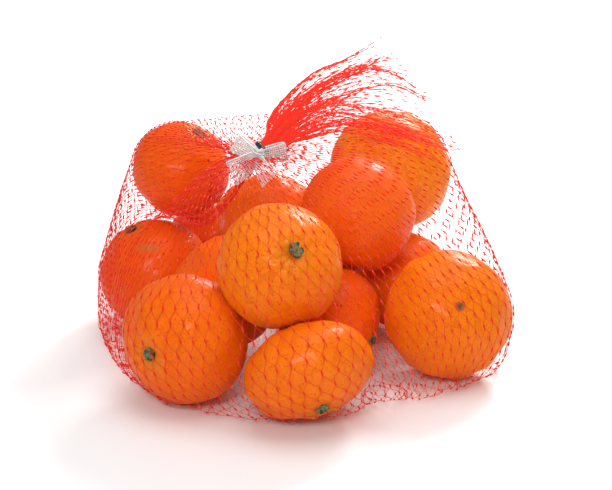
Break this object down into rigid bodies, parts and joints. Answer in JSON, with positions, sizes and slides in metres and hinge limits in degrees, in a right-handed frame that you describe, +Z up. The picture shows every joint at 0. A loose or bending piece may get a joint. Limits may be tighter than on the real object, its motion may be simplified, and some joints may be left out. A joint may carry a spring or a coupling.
{
  "type": "net of oranges",
  "caption": "Soft knitted net bag filled with mandarins, gathered above them and tied with a ribbon bow, its spare net fanned out.",
  "frame": {"origin": "on the floor under the bag, on its resting face", "axes": "+Z up, +X to the right and +Y away from someone facing the bow, metres"},
  "size_m": [0.199, 0.2133, 0.1492],
  "materials": {
    "net": "soft knitted plastic yarn",
    "peel": "waxy pored peel",
    "stalk": "dry stalk end",
    "ribbon": "woven gauze",
    "clip": "pressed strip"
  },
  "bodies": {
    "root": {"net": "net", "bow": "ribbon", "clip": "clip"}
  },
  "joints": []
}
